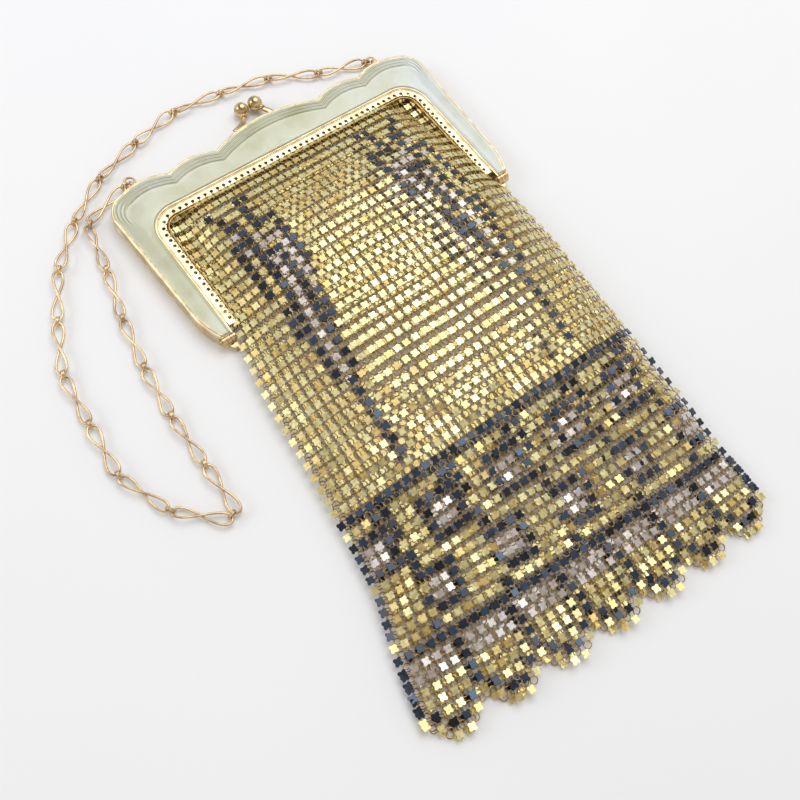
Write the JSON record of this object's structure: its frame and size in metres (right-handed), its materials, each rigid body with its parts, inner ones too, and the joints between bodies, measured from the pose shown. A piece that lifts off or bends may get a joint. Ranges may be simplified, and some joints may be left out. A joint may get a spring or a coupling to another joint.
{
  "type": "evening bag",
  "caption": "Evening bag of enamelled metal mesh with a hinged scalloped frame, kissing-knob clasp, pointed mesh fringe and a wire-link carrying chain, lying on its back.",
  "frame": {"origin": "on the flat back of the frame, in the middle of its top bar", "axes": "+X across the bag, +Y towards the top of the frame, +Z out of the front"},
  "size_m": [0.1558, 0.2147, 0.015],
  "materials": {
    "enamel_frame": "cream enamel on stamped brass, worn to gilt at the edges",
    "armour_mesh": "enamelled and gilt four-armed plates linked with gilt rings",
    "gilt_wire": "satin gilt",
    "polished_gilt": "polished gilt",
    "gilt_chain": "worn gilt wire"
  },
  "bodies": {
    "back_frame": {"back_clasp_arm": "polished_gilt", "back_clasp_knob": "polished_gilt", "back_frame_shell": "enamel_frame", "back_lacing_wire": "gilt_wire", "back_mesh_rim": "gilt_wire", "chain_eye_left": "gilt_chain", "chain_eye_right": "gilt_chain", "fringe_back": "armour_mesh", "fringe_drops_back": "gilt_wire", "fringe_drops_front": "gilt_wire", "fringe_front": "armour_mesh", "hinge_pin_left": "polished_gilt", "hinge_pin_right": "polished_gilt", "mesh_back_upper": "armour_mesh", "mesh_pouch": "armour_mesh", "seam_rings": "gilt_wire"},
    "front_frame": {"front_clasp_arm": "polished_gilt", "front_clasp_knob": "polished_gilt", "front_frame_shell": "enamel_frame", "front_lacing_wire": "gilt_wire", "front_mesh_rim": "gilt_wire", "mesh_front_upper": "armour_mesh"},
    "chain": {"chain_links": "gilt_chain", "chain_rings": "gilt_chain", "end_ring_left": "gilt_chain", "end_ring_right": "gilt_chain"}
  },
  "joints": [
    {"name": "frame_hinge", "type": "hinge", "parent": "back_frame", "child": "front_frame", "pos_m": [0, -0.0495, 0.0025], "axis": [1, 0, 0], "range_deg": [0, 70]},
    {"name": "chain_swing", "type": "hinge", "parent": "back_frame", "child": "chain", "pos_m": [0, 0.01075, 0.00155], "axis": [1, 0, 0], "range_deg": [-105, 0]}
  ]
}
